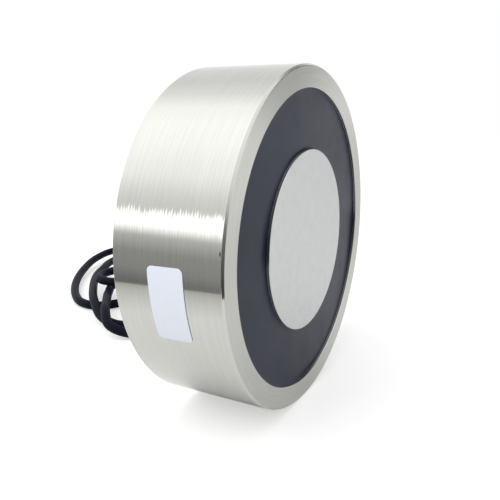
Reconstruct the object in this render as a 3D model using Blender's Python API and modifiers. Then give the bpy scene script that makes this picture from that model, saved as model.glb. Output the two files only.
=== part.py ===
"""Round holding electromagnet with a free cable, lying on its curved side.

The pot, its pole and its base are one turned steel piece. A wound bobbin sits in the ring
groove behind a layer of potting resin, and the cable enters through a rubber boot in the wall.

Units are metres, +Z up. The magnet's axis is level and runs along Y: the pole face looks
along -Y and the mounting face along +Y. The origin is under the middle of the pot, on the
surface that it lies on.

Everything turned is drawn in the magnet's own frame, the empty called axis_frame: its +Z
starts at the mounting face and points out of the pole face, its +X is the world's +X and its
+Y is the world's +Z.
"""

import math

import bmesh
import bpy
from mathutils import Vector

# Pot: its pole, the groove round the pole for the coil, and the wall round the groove add up
# to a diameter of 120 mm.
POLE_DIAMETER = 0.064
GROOVE_WIDTH = 0.0203
RIM_WALL = 0.0077
POT_HEIGHT = 0.038
BASE_THICKNESS = 0.013
FRONT_CHAMFER = 0.0007
BACK_CHAMFER = 0.0003
EDGE_BREAK = 0.0003
GROOVE_CORNER = 0.0008
TURN_STEPS = 96

# Tapped hole in the middle of the mounting face, drilled for an M12 thread.
BOLT_DRILL_DIAMETER = 0.0102
BOLT_HOLE_DEPTH = 0.016
BOLT_HOLE_CHAMFER = 0.0009
DRILL_POINT_SLOPE = math.tan(math.radians(31))

# Room on the groove's floor for the cable's end and the two splices.
SPLICE_ROOM = 0.0054

# Potting resin over the coil, a little below the pole face.
RESIN_RECESS = 0.0012
RESIN_DEPTH = 0.0038
RESIN_FILLET = 0.0006

# Bobbin, winding and the tape round it.
BOBBIN_WALL = 0.0012
FLANGE_MARGIN = 0.0014
TAPE_THICKNESS = 0.0004
WIRE_HOLE_DIAMETER = 0.0022
WIRE_HOLE_ANGLE = -86.0
FOOT_DIAMETER = 0.005
FOOT_COUNT = 6
FIRST_FOOT_ANGLE = -8.0
LAST_FOOT_ANGLE = 242.0
INNER_STEPS = 64

# Cable, its boot and its way through the wall. Angles are about the magnet's axis, in
# degrees, from +X towards the top.
CABLE_DIAMETER = 0.0046
EXIT_ANGLE = -40.0
BOOT_WALL = 0.0010
BOOT_FLANGE_DIAMETER = 0.0106
BOOT_FLANGE_THICKNESS = 0.0016
BOOT_LENGTH = 0.014
BOOT_TIP_WALL = 0.0007
BOOT_STEPS = 24
CABLE_INSIDE = 0.0036
CABLE_POINTS = 80
CABLE_SIDES = 3

# Cores of the cable, the splices and the ends of the winding.
CORE_DIAMETER = 0.0016
CORE_SPACING = 0.0020
CORE_INSIDE_BEND = 0.0055
TIP_DIAMETER = 0.0011
TIP_LENGTH = 0.006
SPLICE_DIAMETER = 0.0028
SPLICE_ARC = 16.0
CORE_TURN_ROOM = 0.0037
SPLICE_PITCH = 0.0050
SPLICE_ANGLE = -54.0
MAGNET_WIRE_DIAMETER = 0.0009
WIRE_POINTS = 14
SLEEVE_POINTS = 9

# Blank rating label, laid round the pot's side and slightly askew.
LABEL_WIDTH = 0.0122
LABEL_LENGTH = 0.0236
LABEL_THICKNESS = 0.0002
LABEL_CORNER = 0.0016
LABEL_STRIPS = 10
LABEL_CORNER_STEPS = 3
LABEL_ANGLE = 189.3
LABEL_OFFSET = 0.0001
LABEL_TILT = -1.7

# Gap between pieces that touch on the real magnet.
SEAT_GAP = 0.0003

# Sides of a large and a small round hole or peg, and how finely a route is read.
HOLE_SIDES = 24
SMALL_SIDES = 12
ROUTE_STEPS = 16

# Sizes that follow from those above.
POLE_RADIUS = POLE_DIAMETER / 2
GROOVE_RADIUS = POLE_RADIUS + GROOVE_WIDTH
POT_RADIUS = GROOVE_RADIUS + RIM_WALL
AXIS_HEIGHT = POT_RADIUS * math.cos(math.pi / TURN_STEPS)
RESIN_TOP = POT_HEIGHT - RESIN_RECESS
RESIN_BOTTOM = RESIN_TOP - RESIN_DEPTH
BOBBIN_BOTTOM = BASE_THICKNESS + SPLICE_ROOM
BOBBIN_TOP = RESIN_BOTTOM - SEAT_GAP
BOBBIN_BORE_RADIUS = POLE_RADIUS + SEAT_GAP
DRUM_RADIUS = BOBBIN_BORE_RADIUS + BOBBIN_WALL
FOOT_RING_RADIUS = POLE_RADIUS + GROOVE_WIDTH / 2
FLANGE_RADIUS = GROOVE_RADIUS - SEAT_GAP
TAPE_RADIUS = FLANGE_RADIUS - FLANGE_MARGIN
WINDING_RADIUS = TAPE_RADIUS - TAPE_THICKNESS - SEAT_GAP
WINDING_BOTTOM = BOBBIN_BOTTOM + BOBBIN_WALL + SEAT_GAP
WINDING_TOP = BOBBIN_TOP - BOBBIN_WALL - SEAT_GAP
CABLE_RADIUS = CABLE_DIAMETER / 2
CABLE_LEVEL = BASE_THICKNESS + SPLICE_ROOM / 2
BOOT_BORE_RADIUS = CABLE_RADIUS + SEAT_GAP
BOOT_RADIUS = BOOT_BORE_RADIUS + BOOT_WALL
EXIT_HOLE_RADIUS = BOOT_RADIUS + SEAT_GAP
CABLE_START_RADIUS = GROOVE_RADIUS - CABLE_INSIDE
SPLICE_FINISH_RADIUS = CABLE_START_RADIUS - CORE_TURN_ROOM
SPLICE_START_RADIUS = SPLICE_FINISH_RADIUS - SPLICE_PITCH

# The cable's route on the surface, in millimetres: from the boot down to the surface, round
# behind the magnet in four loose turns, and to its free end. The points are chosen by hand,
# so that the turns show past the pot's edge as they do in the photograph.
CABLE_ROUTE_MM = (
    (72.5, 4.2, 3.1),
    (83, 9, 2.5),
    (91.5, 19, 2.5),
    (97, 33, 2.5),
    (101.5, 50, 2.5),
    (107, 67, 2.5),
    (114.5, 84, 2.5),
    (125, 102, 2.5),
    (135.5, 121.5, 3),
    (140.5, 146.5, 5),
    (136.5, 169, 6.5),
    (124, 182, 6.5),
    (105, 181, 5.5),
    (81, 170.5, 4),
    (59, 155.5, 3),
    (42.5, 139, 2.5),
    (35.5, 127.5, 2.5),
    (35.5, 117, 2.5),
    (44, 110, 2.5),
    (60, 108, 2.5),
    (80, 110, 2.5),
    (99, 120, 2.5),
    (113, 136, 3.5),
    (117.5, 152, 5.5),
    (109, 162, 7),
    (96, 160.5, 7.2),
    (82, 154, 7.2),
    (67, 146, 7.2),
    (47, 130, 7.5),
    (29, 112.5, 7.2),
    (20, 99.5, 4),
    (18.5, 88, 2.5),
    (26, 77.5, 2.5),
    (42, 76, 2.5),
    (60, 85.5, 4),
    (73, 101, 7.2),
    (72.8, 117.5, 7.3),
    (58.5, 124, 7.4),
    (42, 114.5, 8.2),
    (27.5, 102.8, 9.6),
    (15.5, 93, 9.6),
    (8.8, 84.5, 6),
    (12, 75, 2.9),
    (26, 68.5, 2.5),
    (46, 70, 2.5),
    (69.5, 82.5, 2.5),
    (88, 95, 4.5),
    (93, 109, 7.5),
    (83, 122, 10.5),
    (70, 129.7, 12.6),
    (57.5, 131.2, 12.9),
    (48, 125.3, 12.9),
    (47.7, 114.7, 12.9),
    (56, 107, 12.9),
    (70, 102, 12.7),
    (90, 96.5, 11),
    (105, 91.5, 8.6),
    (117, 84.5, 7.3),
    (128, 75.5, 4.8),
    (138.5, 65, 2.5),
)

# The two bared cores, in millimetres past the jacket's end: along it, to its right, and the
# height over the surface. Both run down to the surface and spread.
TAIL_CORE_A_MM = ((5, -2.2, 1.7), (10.5, -4.4, 1), (16.5, -5.4, 1), (23, -4.8, 1))
TAIL_CORE_B_MM = ((5, 2.4, 1.7), (9.5, 6, 1), (14, 11.2, 1), (17.5, 17.2, 1))

MODEL_NAME = "holding_electromagnet"


def clear_scene():
    """Start from an empty scene."""
    for old in list(bpy.data.objects):
        bpy.data.objects.remove(old, do_unlink=True)


def new_collection(name):
    made = bpy.data.collections.new(name)
    bpy.context.scene.collection.children.link(made)
    return made


def new_material(name, colour, roughness, metallic=0.0):
    made = bpy.data.materials.new(name)
    made.use_nodes = True
    shader = made.node_tree.nodes["Principled BSDF"]
    shader.inputs["Base Color"].default_value = (*colour, 1.0)
    shader.inputs["Roughness"].default_value = roughness
    shader.inputs["Metallic"].default_value = metallic
    return made


def add_object(name, data, collection, parent=None, material=None):
    made = bpy.data.objects.new(name, data)
    collection.objects.link(made)
    made.parent = parent
    if material:
        data.materials.append(material)
    return made


def turned(name, profile, collection, parent, material, steps=TURN_STEPS, closed=True):
    """A turned piece: a profile of (radius, height) points spun about the parent's Z.

    Half a step of turn lays one flat facet under the axis, where the pot touches the surface.
    """
    mesh = bpy.data.meshes.new(name)
    edges = [(i, i + 1) for i in range(len(profile) - 1)]
    if closed:
        edges.append((len(profile) - 1, 0))
    mesh.from_pydata([(radius, 0.0, height) for radius, height in profile], edges, [])
    made = add_object(name, mesh, collection, parent, material)
    made.rotation_euler.z = math.pi / steps
    screw = made.modifiers.new("turn", "SCREW")
    screw.axis = "Z"
    screw.angle = 2 * math.pi
    screw.steps = steps
    screw.render_steps = steps
    screw.use_merge_vertices = True
    screw.merge_threshold = 0.00001
    screw.use_smooth_shade = True
    return made


def ring_profile(inner, outer, bottom, top):
    """A plain rectangular ring section, running down its outer side."""
    return [(inner, top), (outer, top), (outer, bottom), (inner, bottom)]


def polar(radius, degrees, height):
    """A point in the magnet's frame, by radius and angle about its axis."""
    angle = math.radians(degrees)
    return Vector((radius * math.cos(angle), radius * math.sin(angle), height))


def smooth_points(route, count):
    """count points, evenly spaced along one smooth curve through the points of route."""
    ends = [2 * route[0] - route[1], *route, 2 * route[-1] - route[-2]]
    fine = []
    for p0, p1, p2, p3 in zip(ends, ends[1:], ends[2:], ends[3:]):
        fine += [centripetal(p0, p1, p2, p3, step / ROUTE_STEPS) for step in range(ROUTE_STEPS)]
    fine.append(route[-1])
    reached = [0.0]
    for before, after in zip(fine, fine[1:]):
        reached.append(reached[-1] + (after - before).length)
    points = []
    piece = 0
    for index in range(count):
        wanted = reached[-1] * index / (count - 1)
        while piece < len(fine) - 2 and reached[piece + 1] < wanted:
            piece += 1
        share = (wanted - reached[piece]) / (reached[piece + 1] - reached[piece])
        points.append(fine[piece].lerp(fine[piece + 1], min(share, 1.0)))
    return points


def centripetal(p0, p1, p2, p3, share):
    """The point at share of the way from p1 to p2 on a centripetal Catmull-Rom curve."""
    t1 = math.sqrt((p1 - p0).length)
    t2 = t1 + math.sqrt((p2 - p1).length)
    t3 = t2 + math.sqrt((p3 - p2).length)
    t = t1 + share * (t2 - t1)
    a1 = p0.lerp(p1, t / t1)
    a2 = p1.lerp(p2, (t - t1) / (t2 - t1))
    a3 = p2.lerp(p3, (t - t2) / (t3 - t2))
    b1 = a1.lerp(a2, t / t2)
    b2 = a2.lerp(a3, (t - t1) / (t3 - t1))
    return b1.lerp(b2, (t - t1) / (t2 - t1))


def tube(name, points, diameter, collection, parent, material, resolution=2):
    """A round cord or wire with flat ends along the points."""
    curve = bpy.data.curves.new(name, "CURVE")
    curve.dimensions = "3D"
    curve.bevel_depth = diameter / 2
    curve.bevel_resolution = resolution
    curve.use_fill_caps = True
    spline = curve.splines.new("POLY")
    spline.points.add(len(points) - 1)
    for spot, point in zip(spline.points, points):
        spot.co = (*point, 1.0)
    return add_object(name, curve, collection, parent, material)


def cut(target, cutter):
    """Take the cutter's volume out of the target."""
    boolean = target.modifiers.new(cutter.name, "BOOLEAN")
    boolean.operation = "DIFFERENCE"
    boolean.solver = "EXACT"
    boolean.object = cutter


def join(target, addition):
    """Add the addition's volume to the target."""
    boolean = target.modifiers.new(addition.name, "BOOLEAN")
    boolean.operation = "UNION"
    boolean.solver = "EXACT"
    boolean.object = addition


def round_operand(name, radius, start, end, collection, parent, segments=HOLE_SIDES):
    """A round operand for cut or join, from start to end, two points in the parent's frame."""
    mesh = bpy.data.meshes.new(name)
    drill = bmesh.new()
    length = (end - start).length
    bmesh.ops.create_cone(
        drill, cap_ends=True, segments=segments, radius1=radius, radius2=radius, depth=length
    )
    drill.to_mesh(mesh)
    drill.free()
    made = add_object(name, mesh, collection, parent)
    made.location = (start + end) / 2
    made.rotation_mode = "QUATERNION"
    made.rotation_quaternion = (end - start).to_track_quat("Z", "Y")
    made.hide_render = True
    made.display_type = "WIRE"
    return made


def make_pot_body(parts, cutters, frame, steel):
    """Pot, centre pole and base, turned from one bar of soft steel and nickel plated."""
    drill_radius = BOLT_DRILL_DIAMETER / 2
    profile = [
        (0.0, POT_HEIGHT),
        (POLE_RADIUS - EDGE_BREAK, POT_HEIGHT),
        (POLE_RADIUS, POT_HEIGHT - EDGE_BREAK),
        (POLE_RADIUS, BASE_THICKNESS + GROOVE_CORNER),
        (POLE_RADIUS + GROOVE_CORNER, BASE_THICKNESS),
        (GROOVE_RADIUS - GROOVE_CORNER, BASE_THICKNESS),
        (GROOVE_RADIUS, BASE_THICKNESS + GROOVE_CORNER),
        (GROOVE_RADIUS, POT_HEIGHT - EDGE_BREAK),
        (GROOVE_RADIUS + EDGE_BREAK, POT_HEIGHT),
        (POT_RADIUS - FRONT_CHAMFER, POT_HEIGHT),
        (POT_RADIUS, POT_HEIGHT - FRONT_CHAMFER),
        (POT_RADIUS, BACK_CHAMFER),
        (POT_RADIUS - BACK_CHAMFER, 0.0),
        (drill_radius + BOLT_HOLE_CHAMFER, 0.0),
        (drill_radius, BOLT_HOLE_CHAMFER),
        (drill_radius, BOLT_HOLE_DEPTH),
        (0.0, BOLT_HOLE_DEPTH + drill_radius * DRILL_POINT_SLOPE),
    ]
    body = turned("pot_body", profile, parts, frame, steel, closed=False)
    hole = round_operand(
        "cable_hole_cutter",
        EXIT_HOLE_RADIUS,
        polar(GROOVE_RADIUS - EDGE_BREAK, EXIT_ANGLE, CABLE_LEVEL),
        polar(POT_RADIUS + BOOT_FLANGE_THICKNESS, EXIT_ANGLE, CABLE_LEVEL),
        cutters,
        frame,
    )
    cut(body, hole)
    return body


def make_bobbin(parts, cutters, frame, nylon):
    """Moulded spool that the coil is wound on.

    Feet hold it off the groove's floor, which leaves room there for the splices, and its rear
    flange has a hole for each end of the winding.
    """
    profile = [
        (BOBBIN_BORE_RADIUS, BOBBIN_TOP),
        (FLANGE_RADIUS, BOBBIN_TOP),
        (FLANGE_RADIUS, BOBBIN_TOP - BOBBIN_WALL),
        (DRUM_RADIUS, BOBBIN_TOP - BOBBIN_WALL),
        (DRUM_RADIUS, BOBBIN_BOTTOM + BOBBIN_WALL),
        (FLANGE_RADIUS, BOBBIN_BOTTOM + BOBBIN_WALL),
        (FLANGE_RADIUS, BOBBIN_BOTTOM),
        (BOBBIN_BORE_RADIUS, BOBBIN_BOTTOM),
    ]
    bobbin = turned("coil_bobbin", profile, parts, frame, nylon, INNER_STEPS)
    for foot in range(FOOT_COUNT):
        share = foot / (FOOT_COUNT - 1)
        angle = FIRST_FOOT_ANGLE + share * (LAST_FOOT_ANGLE - FIRST_FOOT_ANGLE)
        low = polar(FOOT_RING_RADIUS, angle, BASE_THICKNESS + SEAT_GAP)
        high = polar(FOOT_RING_RADIUS, angle, BOBBIN_BOTTOM + BOBBIN_WALL / 2)
        peg = round_operand(
            f"foot_{foot + 1}", FOOT_DIAMETER / 2, low, high, cutters, frame, SMALL_SIDES
        )
        join(bobbin, peg)
    for label, radius in (("start", start_wire_radius()), ("finish", finish_wire_radius())):
        below = polar(radius, WIRE_HOLE_ANGLE, BOBBIN_BOTTOM - BOBBIN_WALL)
        above = polar(radius, WIRE_HOLE_ANGLE, BOBBIN_BOTTOM + BOBBIN_WALL + SEAT_GAP)
        hole = round_operand(
            f"{label}_wire_hole_cutter",
            WIRE_HOLE_DIAMETER / 2,
            below,
            above,
            cutters,
            frame,
            SMALL_SIDES,
        )
        cut(bobbin, hole)
    return bobbin


def start_wire_radius():
    """Where the first turn of the winding leaves it, beside the drum."""
    return DRUM_RADIUS + WIRE_HOLE_DIAMETER


def finish_wire_radius():
    """Where the last turn of the winding leaves it, at its outside."""
    return WINDING_RADIUS - WIRE_HOLE_DIAMETER


def make_coil(parts, frame, copper, tape):
    """The wound copper block and the tape that holds its last layer."""
    block = ring_profile(DRUM_RADIUS + SEAT_GAP, WINDING_RADIUS, WINDING_BOTTOM, WINDING_TOP)
    turned("coil_winding", block, parts, frame, copper, INNER_STEPS)
    band = ring_profile(WINDING_RADIUS + SEAT_GAP, TAPE_RADIUS, WINDING_BOTTOM, WINDING_TOP)
    turned("winding_tape", band, parts, frame, tape, INNER_STEPS)


def make_resin(parts, frame, resin):
    """Black potting that closes the groove, with its edges drawn up against the steel."""
    inner = POLE_RADIUS + SEAT_GAP
    outer = GROOVE_RADIUS - SEAT_GAP
    profile = [
        (inner, RESIN_TOP),
        (inner + RESIN_FILLET, RESIN_TOP - RESIN_FILLET / 3),
        (outer - RESIN_FILLET, RESIN_TOP - RESIN_FILLET / 3),
        (outer, RESIN_TOP),
        (outer, RESIN_BOTTOM),
        (inner, RESIN_BOTTOM),
    ]
    turned("potting_resin", profile, parts, frame, resin)


def make_boot(parts, frame, rubber):
    """Rubber bush in the wall that runs out into a flange and a tapered boot for the cable."""
    flange_radius = BOOT_FLANGE_DIAMETER / 2
    flange_seat = flange_seat_radius()
    tip = flange_seat + BOOT_LENGTH
    profile = [
        (BOOT_BORE_RADIUS, tip),
        (BOOT_BORE_RADIUS + BOOT_TIP_WALL, tip),
        (BOOT_RADIUS + SEAT_GAP, flange_seat + 2 * BOOT_FLANGE_THICKNESS),
        (flange_radius, flange_seat + BOOT_FLANGE_THICKNESS),
        (flange_radius, flange_seat),
        (BOOT_RADIUS, flange_seat),
        (BOOT_RADIUS, GROOVE_RADIUS + SEAT_GAP),
        (BOOT_BORE_RADIUS, GROOVE_RADIUS + SEAT_GAP),
    ]
    boot = turned("cable_boot", profile, parts, frame, rubber, BOOT_STEPS)
    boot.location = polar(0.0, EXIT_ANGLE, CABLE_LEVEL)
    boot.rotation_mode = "QUATERNION"
    boot.rotation_quaternion = polar(1.0, EXIT_ANGLE, 0.0).to_track_quat("Z", "Y")
    return boot


def flange_seat_radius():
    """How far from the axis the boot's flange sits, clear of the pot's curved side."""
    return POT_RADIUS + SEAT_GAP


def cable_points(frame):
    """The cable's middle line, from inside the groove along its route to the free end."""
    inside = frame.matrix_world @ polar(CABLE_START_RADIUS, EXIT_ANGLE, CABLE_LEVEL)
    boot_seat = frame.matrix_world @ polar(POT_RADIUS, EXIT_ANGLE, CABLE_LEVEL)
    boot_tip = frame.matrix_world @ polar(
        flange_seat_radius() + BOOT_LENGTH, EXIT_ANGLE, CABLE_LEVEL
    )
    past_boot = boot_tip + 2 * CABLE_RADIUS * (boot_tip - boot_seat).normalized()
    route = [inside, boot_seat, boot_tip, past_boot]
    route += [Vector(point) / 1000 for point in CABLE_ROUTE_MM]
    return smooth_points(route, CABLE_POINTS)


def make_cable(parts, points, jacket):
    """The cable's jacket."""
    tube("cable_jacket", points, CABLE_DIAMETER, parts, None, jacket, CABLE_SIDES)


def make_free_end(parts, points, core_materials, tinned):
    """Two bared cores past the jacket's end, with tinned tips."""
    end = points[-1]
    along = (end - points[-2]).normalized()
    right = along.cross(Vector((0.0, 0.0, 1.0))).normalized()
    ends = (
        ("a", -CORE_SPACING / 2, TAIL_CORE_A_MM),
        ("b", CORE_SPACING / 2, TAIL_CORE_B_MM),
    )
    for label, side, route_mm in ends:
        route = [end + SEAT_GAP * along + side * right]
        for ahead, aside, height in route_mm:
            spot = end + (ahead * along + aside * right) / 1000
            spot.z = height / 1000
            route.append(spot)
        core = smooth_points(route, WIRE_POINTS)
        tube(f"tail_core_{label}", core, CORE_DIAMETER, parts, None, core_materials[label])
        heading = (core[-1] - core[-2]).normalized()
        tip = [core[-1] + SEAT_GAP * heading, core[-1] + (SEAT_GAP + TIP_LENGTH) * heading]
        tube(f"tail_tip_{label}", tip, TIP_DIAMETER, parts, None, tinned)


def make_splices(parts, frame, core_materials, sleeve_material, enamel):
    """Inside the groove: each core runs to a splice sleeve, and from it a wire to the coil."""
    gap_angle = math.degrees(SEAT_GAP / SPLICE_START_RADIUS)
    ends = (
        ("start", "b", SPLICE_START_RADIUS, start_wire_radius(), CORE_SPACING / 2),
        ("finish", "a", SPLICE_FINISH_RADIUS, finish_wire_radius(), -CORE_SPACING / 2),
    )
    for label, core, radius, wire_radius, side in ends:
        spread = math.degrees(side / CABLE_START_RADIUS)
        core_start = polar(CABLE_START_RADIUS - SEAT_GAP, EXIT_ANGLE + spread, CABLE_LEVEL)
        core_bend = polar(
            CABLE_START_RADIUS - CORE_INSIDE_BEND / 2, EXIT_ANGLE + spread, CABLE_LEVEL
        )
        core_turn = polar(radius, SPLICE_ANGLE + SPLICE_ARC / 4, CABLE_LEVEL)
        core_end = polar(radius, SPLICE_ANGLE + gap_angle, CABLE_LEVEL)
        core_points = smooth_points([core_start, core_bend, core_turn, core_end], WIRE_POINTS)
        tube(f"inner_core_{core}", core_points, CORE_DIAMETER, parts, frame, core_materials[core])
        sleeve = []
        for step in range(SLEEVE_POINTS):
            share = step / (SLEEVE_POINTS - 1)
            sleeve.append(polar(radius, SPLICE_ANGLE - share * SPLICE_ARC, CABLE_LEVEL))
        tube(f"splice_sleeve_{label}", sleeve, SPLICE_DIAMETER, parts, frame, sleeve_material)
        after = SPLICE_ANGLE - SPLICE_ARC - gap_angle
        wire_points = [
            polar(radius, after, CABLE_LEVEL),
            polar(radius, after - SPLICE_ARC / 4, CABLE_LEVEL),
            polar(wire_radius, WIRE_HOLE_ANGLE + SPLICE_ARC / 6, CABLE_LEVEL),
            polar(wire_radius, WIRE_HOLE_ANGLE, BOBBIN_BOTTOM),
            polar(wire_radius, WIRE_HOLE_ANGLE, WINDING_BOTTOM - SEAT_GAP),
        ]
        points = smooth_points(wire_points, WIRE_POINTS)
        tube(f"{label}_wire_tail", points, MAGNET_WIRE_DIAMETER, parts, frame, enamel)


def make_label(parts, frame, paper):
    """A thin label with round corners, bent round the pot's side."""
    flat = bmesh.new()
    bmesh.ops.create_grid(flat, x_segments=2, y_segments=LABEL_STRIPS, size=0.5)
    bmesh.ops.scale(flat, vec=(LABEL_WIDTH, LABEL_LENGTH, 1.0), verts=flat.verts)
    corners = [v for v in flat.verts if len(v.link_edges) == 2]
    bmesh.ops.bevel(
        flat,
        geom=corners,
        offset=LABEL_CORNER,
        segments=LABEL_CORNER_STEPS,
        profile=0.5,
        affect="VERTICES",
        material=-1,
    )
    tilt = math.radians(LABEL_TILT)
    seat = POT_RADIUS + SEAT_GAP
    for vert in flat.verts:
        across = vert.co.x * math.cos(tilt) - vert.co.y * math.sin(tilt)
        along = vert.co.x * math.sin(tilt) + vert.co.y * math.cos(tilt)
        angle = LABEL_ANGLE - math.degrees(along / seat)
        vert.co = polar(seat, angle, POT_HEIGHT / 2 + LABEL_OFFSET - across)
    bmesh.ops.recalc_face_normals(flat, faces=flat.faces)
    outward = polar(1.0, LABEL_ANGLE, 0.0)
    if sum(face.normal.dot(outward) for face in flat.faces) < 0:
        bmesh.ops.reverse_faces(flat, faces=flat.faces)
    mesh = bpy.data.meshes.new("rating_label")
    flat.to_mesh(mesh)
    flat.free()
    label = add_object("rating_label", mesh, parts, frame, paper)
    solid = label.modifiers.new("thickness", "SOLIDIFY")
    solid.thickness = LABEL_THICKNESS
    solid.offset = 1.0
    return label


def main():
    clear_scene()
    parts = new_collection(MODEL_NAME)
    cutters = new_collection("cutters")
    frame = bpy.data.objects.new("axis_frame", None)
    parts.objects.link(frame)
    frame.location = (0.0, POT_HEIGHT / 2, AXIS_HEIGHT)
    frame.rotation_euler = (math.pi / 2, 0.0, 0.0)
    bpy.context.view_layer.update()

    steel = new_material("nickel plated steel", (0.62, 0.62, 0.60), 0.30, 1.0)
    nylon = new_material("white nylon", (0.80, 0.78, 0.72), 0.45)
    copper = new_material("enamelled copper", (0.45, 0.16, 0.07), 0.35, 1.0)
    tape = new_material("polyester tape", (0.75, 0.55, 0.10), 0.40)
    resin = new_material("black potting resin", (0.065, 0.07, 0.09), 0.42)
    rubber = new_material("black rubber", (0.02, 0.02, 0.025), 0.60)
    jacket = new_material("black cable jacket", (0.022, 0.022, 0.03), 0.45)
    red_core = new_material("red core insulation", (0.55, 0.02, 0.02), 0.40)
    black_core = new_material("black core insulation", (0.02, 0.02, 0.02), 0.40)
    sleeve = new_material("heat shrink sleeve", (0.03, 0.03, 0.03), 0.50)
    tinned = new_material("tinned copper", (0.70, 0.70, 0.68), 0.30, 1.0)
    paper = new_material("white label film", (0.76, 0.79, 0.87), 0.50)

    make_pot_body(parts, cutters, frame, steel)
    make_bobbin(parts, cutters, frame, nylon)
    make_coil(parts, frame, copper, tape)
    make_resin(parts, frame, resin)
    make_boot(parts, frame, rubber)
    points = cable_points(frame)
    make_cable(parts, points, jacket)
    cores = {"a": red_core, "b": black_core}
    make_free_end(parts, points, cores, tinned)
    make_splices(parts, frame, cores, sleeve, copper)
    make_label(parts, frame, paper)


main()
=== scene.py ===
# %% [markdown]
# ## A holding electromagnet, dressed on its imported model
# The solids of the magnet are already made and packed, in metres, with +Z up. This script
# loads them as a fixed frame and gives them their looks: smooth turned steel, cast resin, a
# free cable and a label. Pieces that show get a finer mesh in the same place, and the pieces
# hidden in the magnet keep theirs and get a finish. The magnet lies on its curved side, its
# axis along Y and its pole face looking along -Y.

# %% Load the frame
import math

import bmesh
import bpy
from mathutils import Matrix, Vector


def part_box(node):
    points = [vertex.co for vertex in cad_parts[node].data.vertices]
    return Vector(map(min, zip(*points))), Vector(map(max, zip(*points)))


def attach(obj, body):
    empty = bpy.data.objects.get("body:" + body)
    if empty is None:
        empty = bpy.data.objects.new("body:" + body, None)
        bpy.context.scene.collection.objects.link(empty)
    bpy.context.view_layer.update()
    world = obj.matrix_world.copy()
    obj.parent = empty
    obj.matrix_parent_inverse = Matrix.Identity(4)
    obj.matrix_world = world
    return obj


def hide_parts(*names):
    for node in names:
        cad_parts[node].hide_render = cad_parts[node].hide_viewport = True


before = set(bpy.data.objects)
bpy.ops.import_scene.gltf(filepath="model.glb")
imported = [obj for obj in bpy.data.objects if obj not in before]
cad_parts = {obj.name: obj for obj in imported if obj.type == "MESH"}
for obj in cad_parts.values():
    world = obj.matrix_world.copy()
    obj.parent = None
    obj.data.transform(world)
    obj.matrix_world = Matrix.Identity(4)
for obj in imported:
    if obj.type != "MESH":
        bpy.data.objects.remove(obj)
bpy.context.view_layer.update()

# %% [markdown]
# ## Camera
# The camera stands where the photographer's did. Its place and focal length came from matching
# the ellipses of the rims and of the pole, which are circles of known size on the magnet. A
# frame of 500 pixels with a focal length of 579 pixels is a lens of about 42 mm on a 36 mm
# sensor.

# %% Place the camera
PHOTO_SIDE_PX = 500
FOCAL_PX = 579.0
SENSOR_MM = 36.0
CAMERA_SPOT = Vector((-0.1873, -0.0949, 0.1049))
CAMERA_DOWN = math.radians(13.58)
CAMERA_TURN = math.radians(-61.97)

lens = bpy.data.cameras.new("photo_camera")
lens.sensor_width = SENSOR_MM
lens.lens = FOCAL_PX / PHOTO_SIDE_PX * SENSOR_MM
lens.clip_start = 0.01
camera = bpy.data.objects.new("photo_camera", lens)
camera.location = CAMERA_SPOT
camera.rotation_euler = (math.pi / 2 - CAMERA_DOWN, 0.0, CAMERA_TURN)
bpy.context.scene.collection.objects.link(camera)
bpy.context.scene.camera = camera
print("lens in mm:", round(lens.lens, 1))

# %% [markdown]
# ## Where things are on the magnet
# Most places on a turned piece are easiest to give by their radius and angle about its axis.
# The pot rests on the floor, so its axis is half its height up. Angles run from +X towards the
# top, and y is the place along the axis: the pole face is the lowest y and the mounting face
# the highest.

# %% Places about the axis
pot_low, pot_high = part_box("pot_body")
AXIS_HEIGHT = pot_high.z / 2
POT_RADIUS = AXIS_HEIGHT
FACE_Y = pot_low.y
BACK_Y = pot_high.y
ALONG_AXIS = Vector((0.0, 1.0, 0.0))
AXIS_SPOT = Vector((0.0, 0.0, AXIS_HEIGHT))


def about_axis(radius, degrees, y):
    """The point at that radius and angle about the magnet's axis, and y along it."""
    angle = math.radians(degrees)
    return AXIS_SPOT + Vector((radius * math.cos(angle), y, radius * math.sin(angle)))


print("pot: radius", round(1000 * POT_RADIUS, 2), "mm, y", round(FACE_Y, 4), "to", BACK_Y)

# %% [markdown]
# ## The cable's line
# A cable of fixed length lies where it was dropped: out of its boot, down to the floor, and
# round behind the magnet in loose turns that cross each other in long low humps. Straight runs
# joined by arcs would look like bent wire, so one smooth curve goes through a few dozen chosen
# points. It is spaced by the square root of the distance between points, the centripetal
# form, because that doesn't overshoot or loop where points lie close together.

# %% Route of the cable
EXIT_ANGLE = -40.0
EXIT_Y = 0.0033
START_RADIUS = 0.0487
EXIT_RADIUS = 0.0600
BOOT_TIP_RADIUS = 0.0743
CABLE_DIAMETER = 0.0046
CABLE_POINTS = 560
CURVE_STEPS = 16

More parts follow.
